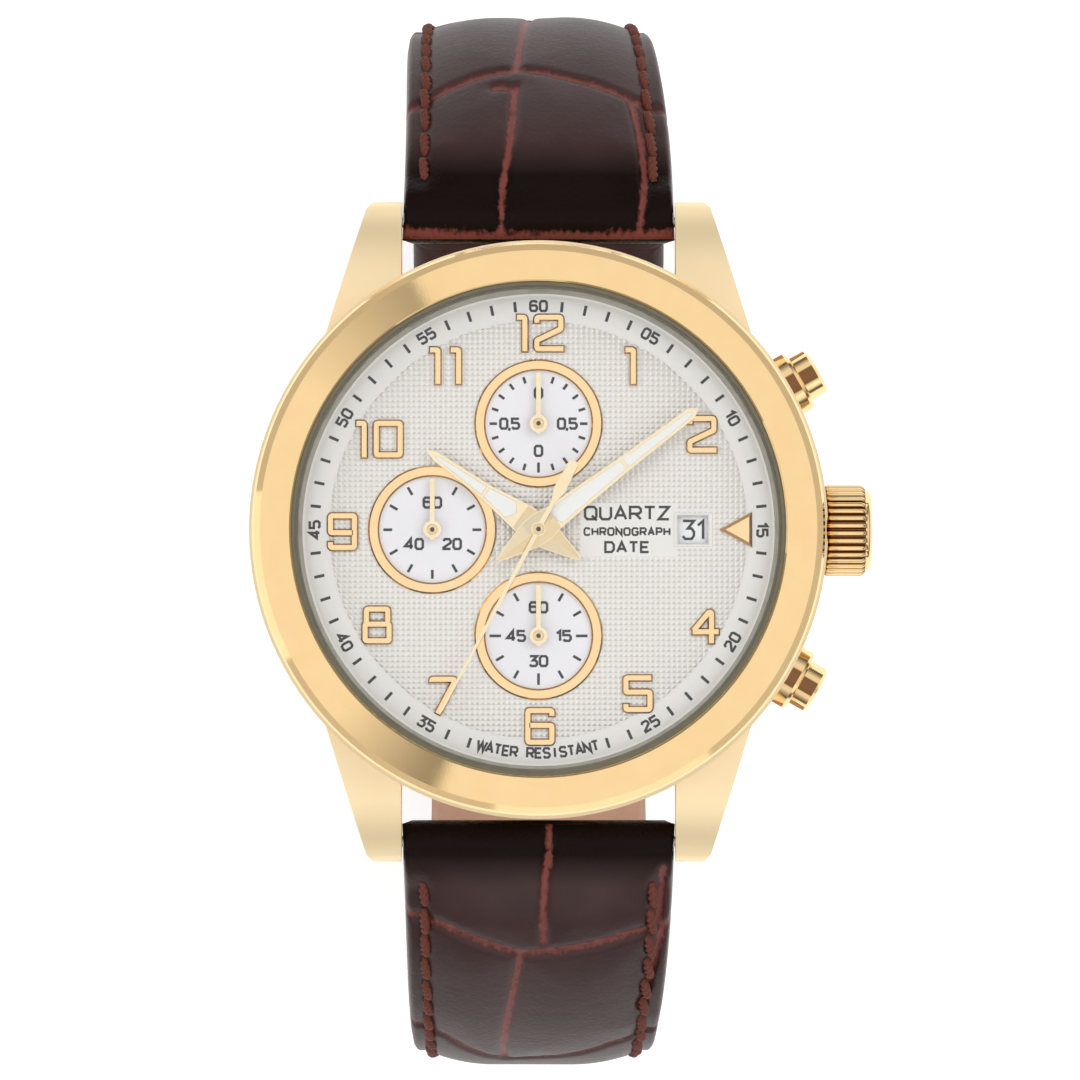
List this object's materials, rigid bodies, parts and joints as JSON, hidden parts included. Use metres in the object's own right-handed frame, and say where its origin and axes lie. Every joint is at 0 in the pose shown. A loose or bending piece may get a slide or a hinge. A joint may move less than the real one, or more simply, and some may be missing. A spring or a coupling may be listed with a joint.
{
  "type": "chronograph wristwatch",
  "caption": "Round gold chronograph wristwatch with a woven silver dial, crown and pushers, on a buckled dark brown crocodile-grain leather strap.",
  "frame": {"origin": "centre of the case back's flat outer face", "axes": "+Z out of the dial through the crystal, +Y to 12 o'clock, +X to the crown at 3 o'clock"},
  "size_m": [0.046, 0.0799, 0.0669],
  "materials": {
    "gold_case": "polished gold plate",
    "gold_satin": "fine gold plate",
    "sapphire": "clear flat crystal",
    "steel": "turned steel",
    "seal_rubber": "black seal",
    "seal_plastic": "olive grey seal",
    "dial_silver": "silver white woven pattern",
    "lume": "white luminous fill",
    "wheel_brass": "fine brass",
    "date_white": "white print ring",
    "holder_plastic": "grey holder",
    "plate_metal": "nickel plated brass",
    "board": "green board",
    "cell": "button cell can",
    "copper": "enamelled copper winding",
    "leather_dark": "dark brown glazed, crocodile grain",
    "leather_tan": "smooth tan lining"
  },
  "bodies": {
    "case": {"case_middle": "gold_case", "bezel": "gold_case", "crystal": "sapphire", "crystal_gasket": "seal_plastic", "flange_ring": "seal_plastic", "case_back": "steel", "case_back_gasket": "seal_rubber", "case_back_screws": "steel", "dial": "dial_silver", "hour_markers": "gold_satin", "subdial_rings": "gold_satin", "movement_holder": "holder_plastic", "main_plate": "plate_metal", "train_bridge": "plate_metal", "circuit_board": "board", "bridge_screws": "steel", "battery": "cell", "battery_clamp": "steel", "motor_coils": "copper", "motor_stators": "steel", "crown_tube": "steel", "strap_12_leather": "leather_dark", "strap_12_lining": "leather_tan", "strap_6_leather": "leather_dark", "strap_6_lining": "leather_tan", "fixed_keeper": "leather_dark", "lug_spring_bars": "steel", "buckle_spring_bar": "steel", "buckle_frame": "gold_case", "start_pusher_collar": "gold_case", "start_pusher_spring": "steel", "reset_pusher_collar": "gold_case", "reset_pusher_spring": "steel"},
    "crown_seal": {"crown_gasket": "seal_rubber"},
    "crown": {"crown": "gold_case", "stem": "steel", "sliding_pinion": "steel"},
    "start_pusher": {"start_pusher": "gold_case", "start_pusher_clip": "steel"},
    "reset_pusher": {"reset_pusher": "gold_case", "reset_pusher_clip": "steel"},
    "minute_hand": {"minute_hand": "gold_satin", "minute_hand_lume": "lume", "cannon_pinion": "steel"},
    "hour_hand": {"hour_hand": "gold_satin", "hour_hand_lume": "lume", "hour_wheel": "wheel_brass"},
    "motion_work": {"minute_wheel": "wheel_brass"},
    "third_wheel": {"third_wheel": "wheel_brass"},
    "small_seconds_hand": {"small_seconds_hand": "gold_satin", "small_seconds_wheel": "steel"},
    "chrono_seconds_hand": {"chrono_seconds_hand": "gold_satin", "chrono_seconds_wheel": "wheel_brass"},
    "chrono_minutes_hand": {"chrono_minutes_hand": "gold_satin", "chrono_minutes_wheel": "wheel_brass"},
    "tenths_hand": {"tenths_hand": "gold_satin", "tenths_wheel": "wheel_brass"},
    "date_ring": {"date_ring": "date_white"},
    "free_keeper": {"free_keeper": "leather_dark"},
    "buckle_prong": {"buckle_prong": "gold_case"}
  },
  "joints": [
    {"name": "crown_pull", "type": "slide", "parent": "case", "child": "crown_seal", "axis": [1, 0, 0], "range_m": [0, 0.001]},
    {"name": "crown_turn", "type": "hinge", "parent": "crown_seal", "child": "crown", "pos_m": [0.0225, 0, 0.0049], "axis": [1, 0, 0], "continuous": true},
    {"name": "start_press", "type": "slide", "parent": "case", "child": "start_pusher", "axis": [-0.866, -0.5, 0], "range_m": [0, 0.0009], "stiffness_N_per_m": 1500, "springref_m": -0.0004, "deforming": ["start_pusher_spring"]},
    {"name": "reset_press", "type": "slide", "parent": "case", "child": "reset_pusher", "axis": [-0.866, 0.5, 0], "range_m": [0, 0.0009], "stiffness_N_per_m": 1500, "springref_m": -0.0004, "deforming": ["reset_pusher_spring"]},
    {"name": "minute_turn", "type": "hinge", "parent": "case", "child": "minute_hand", "pos_m": [0, 0, 0.006], "axis": [0, 0, -1], "continuous": true},
    {"name": "hour_turn", "type": "hinge", "parent": "case", "child": "hour_hand", "pos_m": [0, 0, 0.006], "axis": [0, 0, -1], "continuous": true},
    {"name": "motion_work_turn", "type": "hinge", "parent": "case", "child": "motion_work", "pos_m": [0.00236, 0.00165, 0.0063], "axis": [0, 0, -1], "continuous": true},
    {"name": "third_wheel_turn", "type": "hinge", "parent": "case", "child": "third_wheel", "pos_m": [-0.00156, -0.00403, 0.0045], "axis": [0, 0, -1], "continuous": true},
    {"name": "small_seconds_turn", "type": "hinge", "parent": "case", "child": "small_seconds_hand", "pos_m": [0, -0.0078, 0.006], "axis": [0, 0, -1], "continuous": true},
    {"name": "chrono_seconds_turn", "type": "hinge", "parent": "case", "child": "chrono_seconds_hand", "pos_m": [0, 0, 0.006], "axis": [0, 0, -1], "continuous": true},
    {"name": "chrono_minutes_turn", "type": "hinge", "parent": "case", "child": "chrono_minutes_hand", "pos_m": [-0.0078, 0, 0.006], "axis": [0, 0, -1], "continuous": true},
    {"name": "tenths_turn", "type": "hinge", "parent": "case", "child": "tenths_hand", "pos_m": [0, 0.0078, 0.006], "axis": [0, 0, -1], "continuous": true},
    {"name": "date_turn", "type": "hinge", "parent": "case", "child": "date_ring", "pos_m": [0, 0, 0.0069], "axis": [0, 0, -1], "continuous": true},
    {"name": "free_keeper_slide", "type": "hinge", "parent": "case", "child": "free_keeper", "pos_m": [0, 0.0036, -0.01378], "axis": [1, 0, 0], "range_deg": [-6, 9]},
    {"name": "prong_lift", "type": "hinge", "parent": "case", "child": "buckle_prong", "pos_m": [0, 0.00891, -0.05057], "axis": [1, 0, 0], "range_deg": [0, 6]}
  ],
  "couplings": [
    {"joint": "hour_turn", "follows": "minute_turn", "ratio": 0.083333},
    {"joint": "motion_work_turn", "follows": "minute_turn", "ratio": -0.33333},
    {"joint": "third_wheel_turn", "follows": "minute_turn", "ratio": -8},
    {"joint": "small_seconds_turn", "follows": "minute_turn", "ratio": 60},
    {"joint": "chrono_minutes_turn", "follows": "chrono_seconds_turn", "ratio": 0.016667}
  ]
}
